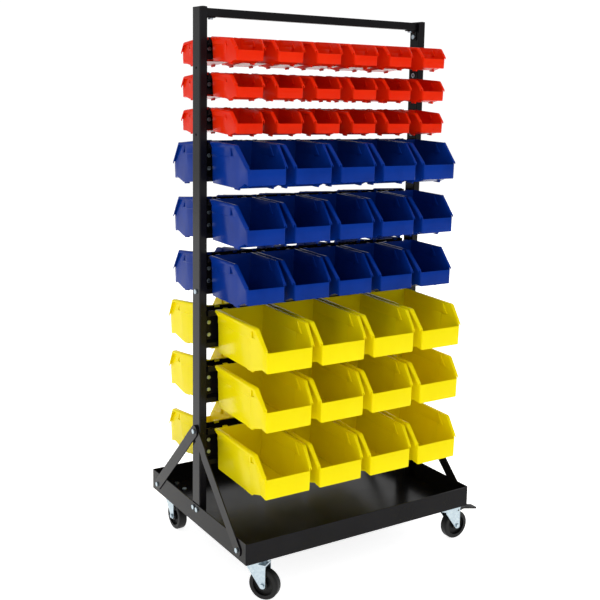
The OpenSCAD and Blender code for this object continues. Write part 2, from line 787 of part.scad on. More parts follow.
// Brake pedal: a lever on a pin through the fork, with a shoe over the wheel and a ribbed foot plate
module pedal(c) {
  rib = 2;
  tip_z = -13;
  tip_t = 5;
  end = pedal_l - pedal_x;
  shoe_z = wheel_d - pedal_z + shoe_gap;
  color(tyre_black) at_caster(c) translate([pedal_x, 0, pedal_z]) {
    rod_y(pedal_pin_r, -fork_y, fork_y);
    translate([0, pedal_w / 2, 0]) rotate([90, 0, 0]) linear_extrude(pedal_w) {
      circle(pedal_boss_r);
      polygon([[0, pedal_boss_r], [26, 2], [end, tip_z + tip_t], [end, tip_z], [24, -3], [12, shoe_z],
        [6, shoe_z],
        [0, -pedal_boss_r]]);
    }
    for (k = [0:4]) translate([32 + 7 * k, -pedal_w / 2, 2 - rib - 0.26 * (6 + 7 * k)])
      cube([rib, pedal_w, rib + 1]);
  }
}

module front_right_pedal() pedal(casters[1]);
module rear_right_pedal() pedal(casters[3]);

base_tray();
left_upright();
right_upright();
top_bar();
upright_caps();
bar_brackets();
insert_nuts();
left_front_brace();
left_rear_brace();
right_front_brace();
right_rear_brace();
brace_bolts();
foot_bolts();
cross_bolts();
bracket_screws();
rail_bolts();
rail_nuts();
caster_bolts();
front_small_rails();
front_medium_rails();
front_large_rails();
rear_small_rails();
rear_medium_rails();
rear_large_rails();
end_bin(0);  // row1_end_bin
end_bin(1);  // row2_end_bin
end_bin(2);  // row3_end_bin
end_bin(3);  // row4_end_bin
end_bin(4);  // row5_end_bin
end_bin(5);  // row6_end_bin
end_bin(6);  // row7_end_bin
end_bin(7);  // row8_end_bin
end_bin(8);  // row9_end_bin
other_bins(0);  // row1_bins
other_bins(1);  // row2_bins
other_bins(2);  // row3_bins
other_bins(3);  // row4_bins
other_bins(4);  // row5_bins
other_bins(5);  // row6_bins
other_bins(6);  // row7_bins
other_bins(7);  // row8_bins
other_bins(8);  // row9_bins
rear_small_bins();
rear_medium_bins();
rear_large_bins();
caster_plates();
front_left_fork();
front_right_fork();
rear_left_fork();
rear_right_fork();
front_left_wheel();
front_right_wheel();
rear_left_wheel();
rear_right_wheel();
front_left_axle();
front_right_axle();
rear_left_axle();
rear_right_axle();
front_right_pedal();
rear_right_pedal();
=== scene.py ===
# %% [markdown]
# A mobile parts bin rack: a black steel frame on four casters, with nine double rows of hanging plastic bins.
# The CAD model is loaded first. It is the fixed frame: every piece made here goes where the CAD says, in metres,
# and rides on one of its bodies.

# %% Load the rack
import json
from math import atan2, cos, radians, sin, tan

import bmesh
import bpy
from mathutils import Matrix, Vector


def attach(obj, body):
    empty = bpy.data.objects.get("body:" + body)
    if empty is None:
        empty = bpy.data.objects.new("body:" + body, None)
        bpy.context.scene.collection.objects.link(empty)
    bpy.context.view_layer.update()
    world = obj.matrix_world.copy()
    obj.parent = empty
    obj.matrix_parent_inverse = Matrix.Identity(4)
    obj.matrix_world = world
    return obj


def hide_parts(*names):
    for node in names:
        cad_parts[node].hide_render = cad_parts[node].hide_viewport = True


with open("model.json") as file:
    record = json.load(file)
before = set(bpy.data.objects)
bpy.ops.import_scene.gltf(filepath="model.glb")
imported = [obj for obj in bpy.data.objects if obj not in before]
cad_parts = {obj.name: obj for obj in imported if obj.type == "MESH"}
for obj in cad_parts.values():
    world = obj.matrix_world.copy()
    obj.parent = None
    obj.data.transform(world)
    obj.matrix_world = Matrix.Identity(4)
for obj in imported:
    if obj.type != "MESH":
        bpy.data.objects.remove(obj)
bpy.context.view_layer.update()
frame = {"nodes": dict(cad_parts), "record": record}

MM = 0.001

# %% [markdown]
# The camera stands where the photographer stood: in front of the rack and to its left, a little below its top.
# It is placed by three turns and a position. The lens is given in pixels of a 600-pixel picture, and Blender
# wants it in millimetres of a 36 mm sensor. The picture was cropped off-centre, which is what shift is for.

# %% Camera
PICTURE, SENSOR, LENS_PIXELS = 600, 36, 982.8
YAW, PITCH, ROLL = radians(33.49), radians(8.79), radians(-1.21)
EYE = Vector((-1.3636, -2.1361, 1.1801))
AXIS_PIXEL = (328.31, 246.16)

ahead = Vector((sin(YAW) * cos(PITCH), cos(YAW) * cos(PITCH), -sin(PITCH)))
level = Vector((cos(YAW), -sin(YAW), 0))
below = ahead.cross(level)
across = cos(ROLL) * level + sin(ROLL) * below
down = cos(ROLL) * below - sin(ROLL) * level

camera = bpy.data.objects.new("camera", bpy.data.cameras.new("camera"))
bpy.context.collection.objects.link(camera)
camera.matrix_world = Matrix.Translation(EYE) @ Matrix((across, -down, -ahead)).transposed().to_4x4()
camera.data.sensor_width = SENSOR
camera.data.lens = LENS_PIXELS * SENSOR / PICTURE
camera.data.shift_x = (PICTURE / 2 - AXIS_PIXEL[0]) / PICTURE
camera.data.shift_y = (AXIS_PIXEL[1] - PICTURE / 2) / PICTURE
bpy.context.scene.camera = camera
print("lens", round(camera.data.lens, 1), "mm")

# %% [markdown]
# Colours are written as sRGB hex values, as a colour picker shows them. Shaders calculate with linear light,
# so one function turns a hex value into linear numbers. A second small function adds a node, sets its values and
# joins its inputs, and every finish below is built with it.

# %% Colour and node helpers
def to_linear(hex_colour):
    parts = [int(hex_colour[i:i + 2], 16) / 255 for i in (1, 3, 5)]
    return tuple(p / 12.92 if p <= 0.04045 else ((p + 0.055) / 1.055) ** 2.4 for p in parts) + (1,)


def add(tree, kind, settings=None, **inputs):
    node = tree.nodes.new(kind)
    for name, value in (settings or {}).items():
        setattr(node, name, value)
    for name, value in inputs.items():
        socket = node.inputs[name.replace("_", " ")]
        if isinstance(value, bpy.types.NodeSocket):
            tree.links.new(value, socket)
        else:
            socket.default_value = value
    return node


print("pure red is", to_linear("#ff0000"))

# %% [markdown]
# The light is a product studio: a bright white backdrop behind the rack, and a softer room in front of it. The backdrop
# could be a curved sheet, but a world shader is simpler. It compares each direction with the way from the lens to the
# rack, and fades from the room to the backdrop. Light from all round is what a white tent gives.

# %% Backdrop and room
BACKDROP, ROOM = 1.05, 0.6
BACK_WAY = (0.55, 0.83, 0)
FADE_FROM, FADE_TO = 0.35, 0.75

studio = bpy.data.worlds.new("white studio")
studio.use_nodes = True
tree = studio.node_tree
tree.nodes.clear()
direction = add(tree, "ShaderNodeTexCoord")
towards_back = add(tree, "ShaderNodeVectorMath", {"operation": "DOT_PRODUCT"})
tree.links.new(direction.outputs["Generated"], towards_back.inputs[0])
towards_back.inputs[1].default_value = BACK_WAY
fade = add(tree, "ShaderNodeMapRange", {"interpolation_type": "SMOOTHSTEP"}, Value=towards_back.outputs["Value"],
           From_Min=FADE_FROM, From_Max=FADE_TO, To_Min=ROOM, To_Max=BACKDROP)
white = add(tree, "ShaderNodeBackground", Color=to_linear("#ffffff"), Strength=fade.outputs["Result"])
add(tree, "ShaderNodeOutputWorld", Surface=white.outputs["Background"])
bpy.context.scene.world = studio
bpy.context.scene.view_settings.view_transform = "Standard"
print("backdrop", BACKDROP, "room", ROOM)

# %% [markdown]
# Even light alone looks flat, so three soft boxes give it a side. The left one lights the sides of the bins, the front
# one reaches into their openings, and the overhead one lights the rims. Each is an area lamp, and a large area
# makes a soft shadow. A lamp shines along its own minus Z, so it is turned until that points at its target.

# %% Soft boxes
def soft_box(name, place, target, width, height, power):
    lamp = bpy.data.lights.new(name, "AREA")
    lamp.shape, lamp.size, lamp.size_y, lamp.energy = "RECTANGLE", width, height, power
    holder = bpy.data.objects.new(name, lamp)
    aim = (Vector(target) - Vector(place)).to_track_quat("-Z", "Y")
    holder.matrix_world = Matrix.Translation(place) @ aim.to_matrix().to_4x4()
    bpy.context.collection.objects.link(holder)
    print(name, power, "W")


soft_box("left soft box", (-2.6, -1.0, 1.6), (0, 0, 0.7), 2.2, 2.2, 4)
soft_box("front soft box", (-0.2, -2.8, 1.5), (0, 0, 0.7), 1.8, 1.4, 7)
soft_box("overhead soft box", (-0.6, -0.9, 2.6), (0, -0.1, 0.7), 1.4, 1.0, 7)

# %% [markdown]
# The floor is a plain sheet of pale paper.

# %% Floor
FLOOR_SIZE, PAPER_GLOW, MOTTLES_PER_METRE = 14, 0.8, 3.0

bpy.ops.object.select_all(action="DESELECT")
bpy.ops.mesh.primitive_plane_add(size=FLOOR_SIZE, location=(0, 0, 0))
floor = bpy.context.object
floor.name = "studio_floor"
# Matt white paper: no gloss, and a tone that drifts too little to be seen as a pattern
paper = bpy.data.materials.new("white backdrop paper")
paper.use_nodes = True
tree = paper.node_tree
shader = tree.nodes["Principled BSDF"]
shader.inputs["Roughness"].default_value = 0.9
shader.inputs["Emission Color"].default_value = to_linear("#ffffff")
shader.inputs["Emission Strength"].default_value = PAPER_GLOW
place = add(tree, "ShaderNodeTexCoord")
mottle = add(tree, "ShaderNodeTexNoise", Vector=place.outputs["Object"], Scale=MOTTLES_PER_METRE)
tone = add(tree, "ShaderNodeMix", {"data_type": "RGBA"})
for slot, value in ((6, to_linear("#fbfbfb")), (7, to_linear("#f4f4f4"))):
    tone.inputs[slot].default_value = value
tree.links.new(mottle.outputs["Fac"], tone.inputs[0])
tree.links.new(tone.outputs[2], shader.inputs["Base Color"])
floor.data.materials.append(paper)
print("floor", tuple(floor.dimensions))

# %% [markdown]
# Shaping by hand means working in edit mode: pick some points, edges or faces, then run an operator on them.
# Here the picking is done in code, by place or by direction. An operator acts on all that is selected,
# so each pick starts by letting everything go. Two places count as the same when they are closer than a hair.

# %% Picking
SELECT_MODE = {"verts": "VERT", "edges": "EDGE", "faces": "FACE"}
SAME, SAME_RING = 0.02 * MM, 0.002 * MM


def take(*objs):
    bpy.ops.object.select_all(action="DESELECT")
    for obj in objs:
        obj.select_set(True)
    bpy.context.view_layer.objects.active = objs[0]


def pick(kind, test):
    bpy.ops.mesh.select_mode(type=SELECT_MODE[kind])
    bpy.ops.mesh.select_all(action="DESELECT")
    mesh = bpy.context.edit_object.data
    shape = bmesh.from_edit_mesh(mesh)
    chosen = [part for part in getattr(shape, kind) if test(part)]
    for part in chosen:
        part.select_set(True)
    bmesh.update_edit_mesh(mesh)
    return len(chosen)


def middle(part):
    return sum((v.co for v in part.verts), Vector()) / len(part.verts)


def near(a, b):
    return abs(a - b) < SAME


print("places match within", SAME / MM, "mm")

# %% [markdown]
# Four more helpers keep the recipe short. One cuts the selection along a plane. One adds a modifier and applies it
# at once. One joins objects into a named piece. The last makes a prism: a flat ring with one corner for each point
# is added, its corners are moved to the outline, and it is extruded along X.

# %% Cutting and joining
def cut(at, normal, clear=False):
    bpy.ops.mesh.bisect(plane_co=at, plane_no=normal, clear_outer=clear)


def finish_with(obj, kind, **settings):
    modifier = obj.modifiers.new(kind, kind)
    for name, value in settings.items():
        setattr(modifier, name, value)
    take(obj)
    bpy.ops.object.modifier_apply(modifier=modifier.name)


def joined(objs, name):
    take(*objs)
    bpy.ops.object.join()
    piece = bpy.context.object
    piece.name = piece.data.name = name
    return piece


def prism(outline, x0, x1):
    bpy.ops.object.select_all(action="DESELECT")
    bpy.ops.mesh.primitive_circle_add(vertices=len(outline), fill_type="NGON")
    obj = bpy.context.object
    for corner, (y, z) in zip(obj.data.vertices, outline):
        corner.co = (x0, y, z)
    take(obj)
    bpy.ops.object.mode_set(mode="EDIT")
    bpy.ops.mesh.select_all(action="SELECT")
    bpy.ops.mesh.extrude_region_move(TRANSFORM_OT_translate={"value": (x1 - x0, 0, 0)})
    bpy.ops.mesh.select_all(action="SELECT")
    bpy.ops.mesh.normals_make_consistent(inside=False)
    bpy.ops.object.mode_set(mode="OBJECT")
    return obj


print("helpers ready")

# %% [markdown]
# The bins are injection moulded: one thin wall everywhere, soft corners, and a rim that is rolled outwards so that it
# is stiff. They could be cut from a solid, but a skin that gets its wall at the end is closer to how a mould works.
# In this recipe a bin hangs at the origin, with its back at y = 0, its mouth at z = 0 and its nose towards minus Y.
# It starts as a box. A few planes cut the slope of the mouth and round the bend behind it, and the top is taken off.

# %% Open hopper
WALL = 2 * MM
BEND_SHARES = (0.25, 0.5, 0.75, 1)


def open_hopper(bw, depth, h, rim, drop, bend):
    bpy.ops.object.select_all(action="DESELECT")
    bpy.ops.mesh.primitive_cube_add(size=1, location=(0, -depth / 2, -(h + WALL) / 2))
    obj = bpy.context.object
    obj.scale = (2 * bw, depth, h - WALL)
    bpy.ops.object.transform_apply(location=True, rotation=True, scale=True)
    bpy.ops.object.mode_set(mode="EDIT")
    slope = atan2(drop - WALL, depth - rim)
    centre = Vector((0, -rim + bend * tan(slope / 2), -WALL - bend))
    for share in BEND_SHARES:
        out = Vector((0, -sin(slope * share), cos(slope * share)))
        bpy.ops.mesh.select_all(action="SELECT")
        cut(centre + bend * out, out, clear=True)
    pick("faces", lambda f: f.normal.z > 0.99)
    bpy.ops.mesh.delete(type="FACE")
    return obj


print("walls are", WALL / MM, "mm thick")

# %% [markdown]
# The floor is flat at the back and rises towards the nose, so that parts slide to the hand. Two small feet stand where
# the rise begins. The floor is cut across at those places, its front points are lifted, and the feet are extruded.

# %% Floor and feet of a bin
DRAFT, FOOT, FOOT_W = 4 * MM, 3.5 * MM, 5 * MM
FLAT_END, NOSE, FOOT_RUN = 0.7, 0.9, 0.12
RISE, NOSE_LIFT = 0.11, 1.3


def shape_floor(bw, depth, h):
    base, rise, foot_x = FLAT_END * depth, RISE * h, bw - DRAFT - FOOT_W / 2
    for y in (-base, -NOSE * depth):
        bpy.ops.mesh.select_all(action="SELECT")
        cut((0, y, 0), (0, 1, 0))
    for y, lift in ((-NOSE * depth, NOSE_LIFT * rise), (-depth, rise)):
        pick("verts", lambda v: near(v.co.z, -h) and near(v.co.y, y))
        bpy.ops.transform.translate(value=(0, 0, lift))
    for x in (-foot_x, foot_x):
        for edge in (-FOOT_W / 2, FOOT_W / 2):
            pick("faces", lambda f: f.normal.z < -0.99)
            cut((x + edge, 0, 0), (1, 0, 0))
    pick("faces", lambda f: f.normal.z < -0.99)
    cut((0, -base + FOOT_RUN * depth, 0), (0, 1, 0))
    pick("faces", lambda f: f.normal.z < -0.99 and near(abs(middle(f).x), foot_x)
         and near(middle(f).y, -base + FOOT_RUN * depth / 2))
    bpy.ops.mesh.extrude_region_move(TRANSFORM_OT_translate={"value": (0, 0, -FOOT)})


print("feet are", FOOT / MM, "mm high")

# %% [markdown]
# A moulded side leans in towards the floor, so that the bin comes out of its mould: that is draft. It also has a small
# ledge a third of the way down, and it turns in towards the nose, which leaves an upright line that catches the light.
# Rings of points are scaled about the middle for the ledge and the draft, and flattened to a plane for the turn.
# The line of the turn is marked sharp, so that smooth shading leaves it alone.

# %% Sides of a bin
STEP, LEDGE = 0.3, 1 * MM


def draft_sides(bw, front_bw, depth, h, turn):
    step = STEP * h
    planes = (((0, 0, -step), (0, 0, 1)), ((0, 0, -step - LEDGE), (0, 0, 1)), ((0, -turn, 0), (0, 1, 0)))
    for place, normal in planes:
        bpy.ops.mesh.select_all(action="SELECT")
        cut(place, normal)
    shape = bmesh.from_edit_mesh(bpy.context.edit_object.data)
    for z in sorted({round(v.co.z, 6) for v in shape.verts}):
        if z < -step - LEDGE / 2:
            lean = min((-z - step - LEDGE) / (h - step - LEDGE), 1)
            narrow = 1 - (LEDGE + (DRAFT - LEDGE) * lean) / bw
            pick("verts", lambda v: abs(v.co.z - z) < SAME_RING)
            bpy.ops.transform.resize(value=(narrow, 1, 1), center_override=(0, 0, 0))
    shape = bmesh.from_edit_mesh(bpy.context.edit_object.data)
    for y in sorted({round(v.co.y, 6) for v in shape.verts}):
        half = bw - (bw - front_bw) * max(-y - turn, 0) / (depth - turn)
        for side in (-1, 1):
            if pick("verts", lambda v: abs(v.co.y - y) < SAME_RING and v.co.x * side > half):
                bpy.ops.transform.resize(value=(0, 1, 1), center_override=(side * half, 0, 0))
    pick("edges", lambda e: all(near(v.co.y, -turn) for v in e.verts)
         and abs(e.verts[0].co.z - e.verts[1].co.z) > MM)
    bpy.ops.mesh.mark_sharp()


print("sides lean in by", DRAFT / MM, "mm")

# %% [markdown]
# The two front corners are rounded first, because their radius is the larger one. The edge of the floor follows with
# a finer bevel, which is clamped so that it can't run over its neighbours. Points that then lie on one another are
# merged. The rear corners stay square: they hang against the rail.

# %% Corners of a bin
FLOOR_ROUND = 2 * MM


def round_corners(low_bw, depth, h, corner):
    def turns(edge):
        return len(edge.link_faces) == 2 and edge.calc_face_angle(0) > radians(20)

    def stands(edge):
        run = edge.verts[0].co - edge.verts[1].co
        return abs(run.z) > max(abs(run.x), abs(run.y))

    def at_floor(mid):
        return -h - MM / 4 < mid.z < -0.84 * h and (abs(mid.x) > low_bw - MM or mid.y < -depth + 1.1 * corner)

    pick("edges", lambda e: turns(e) and stands(e) and near(middle(e).y, -depth))
    bpy.ops.mesh.bevel(offset=corner, segments=4, affect="EDGES", clamp_overlap=False)
    pick("edges", lambda e: turns(e) and not stands(e) and at_floor(middle(e)))
    bpy.ops.mesh.bevel(offset=FLOOR_ROUND, segments=2, affect="EDGES", clamp_overlap=True)
    bpy.ops.mesh.select_all(action="SELECT")
    bpy.ops.mesh.remove_doubles(threshold=0.05 * MM)


print("floor edges are rounded by", FLOOR_ROUND / MM, "mm")

# %% [markdown]
# The rim is a lip that is folded down into a skirt, with a rolled edge between them. The open edge is extruded
# outwards, flattened to the line of the rim, extruded down, and bevelled. Along the slope the rim follows the walls
# as they turn in, so its points are drawn in, ring by ring.

# %% Rolled rim
LIP, RIM_SKIRT, ROLL_R = 5 * MM, 7 * MM, 1.8 * MM


def roll_rim(half, front_bw, depth, rim, corner):
    for side in (-1, 1):
        pick("edges", lambda e: e.is_boundary and middle(e).x * side > front_bw - 2 * MM
             and -depth + 0.9 * corner < middle(e).y < -0.9 * corner)
        bpy.ops.mesh.extrude_edges_move(TRANSFORM_OT_translate={"value": (side * LIP, 0, 0)})
        bpy.ops.transform.resize(value=(0, 1, 1), center_override=(side * (half - WALL), 0, 0))
        bpy.ops.mesh.extrude_edges_move(TRANSFORM_OT_translate={"value": (0, 0, WALL - RIM_SKIRT)})
        pick("edges", lambda e: not e.is_boundary and near(middle(e).x * side, half - WALL)
             and abs(e.verts[0].co.y - e.verts[1].co.y) > MM and e.calc_face_angle(0) > radians(50))
        bpy.ops.mesh.bevel(offset=ROLL_R, segments=3, affect="EDGES")
        shape = bmesh.from_edit_mesh(bpy.context.edit_object.data)
        rolled = half - WALL - ROLL_R - 0.1 * MM
        for y in sorted({round(v.co.y, 6) for v in shape.verts if v.co.y < -rim and v.co.x * side > rolled}):
            draw_in = (half - front_bw - LIP) * (-y - rim) / (depth - rim)
            pick("verts", lambda v: abs(v.co.y - y) < SAME_RING and v.co.x * side > rolled)
            bpy.ops.transform.translate(value=(-side * draw_in, 0, 0))


print("the rim's skirt is", RIM_SKIRT / MM, "mm deep")

# %% [markdown]
# Two hooks at the back carry the bin. Each reaches over the edge of the rail and down behind it. The back wall is cut
# at the sides of the hooks, and the open edge between the cuts is extruded back and then down.

# %% Hooks
HANG_GAP, RAIL_T, HOOK_GAP, HOOK_H = 2 * MM, 2 * MM, 0.3 * MM, 7 * MM
HOOK_FROM, HOOK_TO = 0.55, 0.75


def hook_back(bw):
    inner, outer = HOOK_FROM * bw, HOOK_TO * bw
    for x in (-outer, -inner, inner, outer):
        pick("faces", lambda f: f.normal.y > 0.99)
        cut((x, 0, 0), (1, 0, 0))
    pick("edges", lambda e: e.is_boundary and near(middle(e).y, 0) and inner < abs(middle(e).x) < outer)
    bpy.ops.mesh.extrude_edges_move(TRANSFORM_OT_translate={"value": (0, HANG_GAP + RAIL_T + HOOK_GAP, 0)})
    bpy.ops.mesh.extrude_edges_move(TRANSFORM_OT_translate={"value": (0, 0, WALL - HOOK_H)})


print("hooks reach", HOOK_H / MM, "mm down")

# %% [markdown]
# Each side has a three-cornered pocket behind the bend, and a rib that props the rear of the rim. A pocket keeps its
# wall, so a lump is joined on inside before the hole is cut. Booleans are the quick way to do that on a closed skin.
# All lumps are joined first, then all holes, so the bin only goes through two of them.

# %% Pockets and ribs
POCKET, POCKET_BACK, POCKET_SIZE, COLLAR = 3 * MM, 28 * MM, 0.18, 1.45
RIB_REAR, RIB_FRONT, RIB_END, UNDER_SKIRT = -3 * MM, -5.5 * MM, -20 * MM, 2 * MM


def pocket_sides(obj, half, rear_x, wall_x, h, rim):
    size, top, rear = POCKET_SIZE * h, -RIM_SKIRT - UNDER_SKIRT, -rim + POCKET_BACK
    corners = [(rear, top), (rear, top - size), (rear - 0.7 * size, top - 0.9 * size)]
    centre = [sum(c[i] for c in corners) / 3 for i in (0, 1)]
    wider = [tuple(centre[i] + COLLAR * (c[i] - centre[i]) for i in (0, 1)) for c in corners]
    lumps, holes = [], []
    for side in (-1, 1):
        lumps.append(prism(wider, side * (wall_x - WALL - POCKET), side * (wall_x - WALL / 2)))
        rib = prism([(RIB_REAR, -MM), (RIB_REAR, RIB_END), (RIB_FRONT, RIB_END), (RIB_FRONT, -MM)],
                    side * (rear_x - MM), side * (half - MM))
        take(rib)
        bpy.ops.object.mode_set(mode="EDIT")
        pick("verts", lambda v: v.co.z < RIB_END + MM and v.co.x * side > half - 2 * MM)
        bpy.ops.transform.translate(value=(0, 0, -RIB_END - RIM_SKIRT - UNDER_SKIRT))
        bpy.ops.object.mode_set(mode="OBJECT")
        lumps.append(rib)
        holes.append(prism(corners, side * (wall_x - POCKET), side * (half - 3 * MM)))
    for tool, action in ((joined(lumps, "lumps"), "UNION"), (joined(holes, "holes"), "DIFFERENCE")):
        finish_with(obj, "BOOLEAN", operation=action, object=tool, solver="EXACT")
        bpy.data.objects.remove(tool)


print("pockets are", POCKET / MM, "mm deep")

# %% [markdown]
# Now the recipe is put together. Solidify gives the skin its wall inwards. Booleans and bevels dislike very short
# edges, so a weld comes before and after the pockets. Last, the edges of the mouth get a bevel of less than half a
# millimetre: no moulded edge is sharp, and a soft one shows as a thin bright line.

# %% Whole bin
TURN_BACK, SOFT_RIM = 35 * MM, 0.4 * MM
WELD_SKIN, WELD_CUTS = 0.3 * MM, 0.35 * MM


def mould_bin(name, width, front, flange, depth, height, rim, drop, corner, bend):
    half, bw, front_bw, h, turn = width / 2, width / 2 - flange, front / 2, height - FOOT, rim - TURN_BACK
    obj = open_hopper(bw, depth, h, rim, drop, bend)
    shape_floor(bw, depth, h)
    draft_sides(bw, front_bw, depth, h, turn)
    round_corners(min(bw - DRAFT, front_bw), depth, h, corner)
    roll_rim(half, front_bw, depth, rim, corner)
    hook_back(bw)
    bpy.ops.object.mode_set(mode="OBJECT")
    finish_with(obj, "SOLIDIFY", thickness=WALL, offset=-1, use_even_offset=True)
    finish_with(obj, "WELD", merge_threshold=WELD_SKIN)
    wall_x = bw - (bw - front_bw) * (TURN_BACK - POCKET_BACK) / (depth - turn)
    pocket_sides(obj, half, bw, wall_x, h, rim)
    finish_with(obj, "WELD", merge_threshold=WELD_CUTS)
    take(obj)
    bpy.ops.object.mode_set(mode="EDIT")
    pick("edges", lambda e: len(e.link_faces) == 2 and e.calc_face_angle(0) > radians(50)
         and middle(e).z > -0.75 * h)
    bpy.ops.mesh.bevel(offset=SOFT_RIM, segments=2, affect="EDGES", clamp_overlap=False)
    bpy.ops.object.mode_set(mode="OBJECT")
    bpy.ops.object.shade_smooth_by_angle(angle=radians(35))
    obj.name = name
    obj.data.calc_loop_triangles()
    print(name, [round(side / MM, 1) for side in obj.dimensions], len(obj.data.loop_triangles), "triangles")
    return obj


print("recipe ready")

# %% [markdown]
# Three sizes come from the one recipe: small ones for screws, medium ones, and large ones with a long level rim.
# The sizes are those of the CAD model, so that each bin fills the same space and hangs from the same edge.

# %% Mould the three sizes
small_bin = mould_bin("small_bin", width=84 * MM, front=69 * MM, flange=4 * MM, depth=121 * MM, height=60 * MM,
                      rim=96 * MM, drop=26 * MM, corner=5 * MM, bend=7 * MM)
medium_bin = mould_bin("medium_bin", width=119 * MM, front=98.5 * MM, flange=5 * MM, depth=176 * MM,
                       height=104 * MM, rim=124 * MM, drop=52 * MM, corner=5 * MM, bend=10 * MM)
large_bin = mould_bin("large_bin", width=145 * MM, front=122.5 * MM, flange=8 * MM, depth=240 * MM,
                      height=114 * MM, rim=198 * MM, drop=49 * MM, corner=4 * MM, bend=10 * MM)

# %% [markdown]
# Polypropylene is the plastic of most storage bins. It is moulded in polished steel, so it comes out fairly glossy,
# with a faint grain, slow changes of tone where the melt flowed, and fine scuffs. The colour is in the plastic
# itself, and light goes a few millimetres into the red and the yellow before it comes out again. Subsurface does that:
# its scale is one millimetre here, so the reach of red, green and blue light is given in millimetres.

# %% Moulded plastic
FLOW, SCUFF, MOULD_GRAIN = 60 * MM, 11 * MM, 4 * MM  # the real grain is finer: it is drawn coarser, to show


def polypropylene(name, hex_colour, hex_deep, glow=0, reach=(1, 1, 1)):
    # Coloured right through, with a soft gloss that scuffs break up and walls that glow where light gets in
    finish = bpy.data.materials.new(name)
    finish.use_nodes = True
    tree = finish.node_tree
    shader = tree.nodes["Principled BSDF"]
    shader.inputs["IOR"].default_value = 1.49
    shader.inputs["Specular IOR Level"].default_value = 0.05
    shader.inputs["Subsurface Weight"].default_value = glow
    shader.inputs["Subsurface Radius"].default_value = reach
    shader.inputs["Subsurface Scale"].default_value = MM
    place = add(tree, "ShaderNodeTexCoord").outputs["Object"]
    flow = add(tree, "ShaderNodeTexNoise", Vector=place, Scale=1 / FLOW, Detail=3.0, Roughness=0.5)
    tone = add(tree, "ShaderNodeValToRGB", Fac=flow.outputs["Fac"])
    for stop, at, hex_tone in zip(tone.color_ramp.elements, (0.3, 0.65), (hex_deep, hex_colour)):
        stop.position, stop.color = at, to_linear(hex_tone)
    tree.links.new(tone.outputs["Color"], shader.inputs["Base Color"])
    scuff = add(tree, "ShaderNodeTexNoise", Vector=place, Scale=1 / SCUFF, Detail=6.0, Roughness=0.65)
    gloss = add(tree, "ShaderNodeMapRange", Value=scuff.outputs["Fac"],
                From_Min=0.35, From_Max=0.75, To_Min=0.17, To_Max=0.25)
    tree.links.new(gloss.outputs["Result"], shader.inputs["Roughness"])
    grain = add(tree, "ShaderNodeTexNoise", Vector=place, Scale=1 / MOULD_GRAIN, Detail=2.0)
    bump = add(tree, "ShaderNodeBump", Strength=0.015, Distance=0.2 * MM, Height=grain.outputs["Fac"])
    tree.links.new(bump.outputs["Normal"], shader.inputs["Normal"])
    return finish


red_plastic = polypropylene("red moulded polypropylene", "#e02908", "#da2405", 0.4, (5, 0.6, 0.3))
blue_plastic = polypropylene("blue moulded polypropylene", "#07318a", "#052b7e")
yellow_plastic = polypropylene("yellow moulded polypropylene", "#f2df07", "#efdb04", 0.25, (4, 3, 0.5))
print("plastics:", red_plastic.name, blue_plastic.name, yellow_plastic.name)

# %% [markdown]
# The nine rows hang on rails at the heights that the CAD gives. A bin turns about the edge of its rail until its back
# touches the rail, so its nose dips a little, more on the rear than on the front. Every bin is a copy with its own
# mesh. Bins on the rear are placed as on the front and then turned half round with the whole row.

# %% Places of the bins
FRAME_TOP, FIRST_DROP, CLEAR_X = 1374 * MM, 68 * MM, 314 * MM
ROW_STEPS = [0, 82.5, 82.5, 79, 137.5, 137.5, 135, 140, 161.5]
BACK, EDGE, OVER = 27.5 * MM, HANG_GAP + RAIL_T / 2, 2.4 * MM
# Bin, count, width, margin at the ends of a row, lean on the front and on the rear, finish, slot
SIZES = [(small_bin, 6, 84 * MM, 4.5 * MM, 3.5, 5.5, red_plastic, "red_plastic"),
         (medium_bin, 5, 119 * MM, 3 * MM, 1.2, 5.5, blue_plastic, "blue_plastic"),
         (large_bin, 4, 145 * MM, 18 * MM, 1.8, 6, yellow_plastic, "yellow_plastic")]
rail_tops = [FRAME_TOP - FIRST_DROP - sum(ROW_STEPS[:i + 1]) * MM for i in range(9)]


def hung(row, k, rear=False):
    bin_shape, count, width, margin, front_lean, rear_lean, finish, slot = SIZES[row // 3]
    pitch = (2 * (CLEAR_X - margin) - width) / (count - 1)
    place = Matrix.Translation(((k - (count - 1) / 2) * pitch, EDGE - BACK, rail_tops[row]))
    lean = Matrix.Rotation(radians(rear_lean if rear else front_lean), 4, "X")
    matrix = place @ lean @ Matrix.Translation((0, -EDGE, OVER))
    twin = bin_shape.copy()
    twin.data = bin_shape.data.copy()
    bpy.context.collection.objects.link(twin)
    twin.matrix_world = Matrix.Rotation(radians(180), 4, "Z") @ matrix if rear else matrix
    return twin


print("rails at", [round(top, 4) for top in rail_tops], "m")

# %% [markdown]
# The first bin of each front row lifts off by itself, so it is a piece of its own.

# %% Hang the bins
def hang(name, node, body, row, twins):
    piece = joined(twins, name)
    bpy.ops.object.transform_apply(location=True, rotation=True, scale=True)
    piece.data.materials.clear()
    piece.data.materials.append(SIZES[row // 3][6])
    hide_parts(node)
    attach(piece, body)
    print(name, "has", len(twins), "bins")


for row in range(9):
    count = SIZES[row // 3][1]
    hang(f"end_bin_of_row_{row + 1}", f"row{row + 1}_end_bin", f"row{row + 1}_end_bin_body", row, [hung(row, 0)])
    hang(f"bins_of_row_{row + 1}", f"row{row + 1}_bins", "rack", row, [hung(row, k) for k in range(1, count)])
for size, word in enumerate(("small", "medium", "large")):
    twins = [hung(row, k, rear=True) for row in range(3 * size, 3 * size + 3) for k in range(SIZES[size][1])]
    hang(f"{word}_bins_on_the_rear", f"rear_{word}_bins", "rack", 3 * size, twins)
for pattern in (small_bin, medium_bin, large_bin):
    bpy.data.objects.remove(pattern)

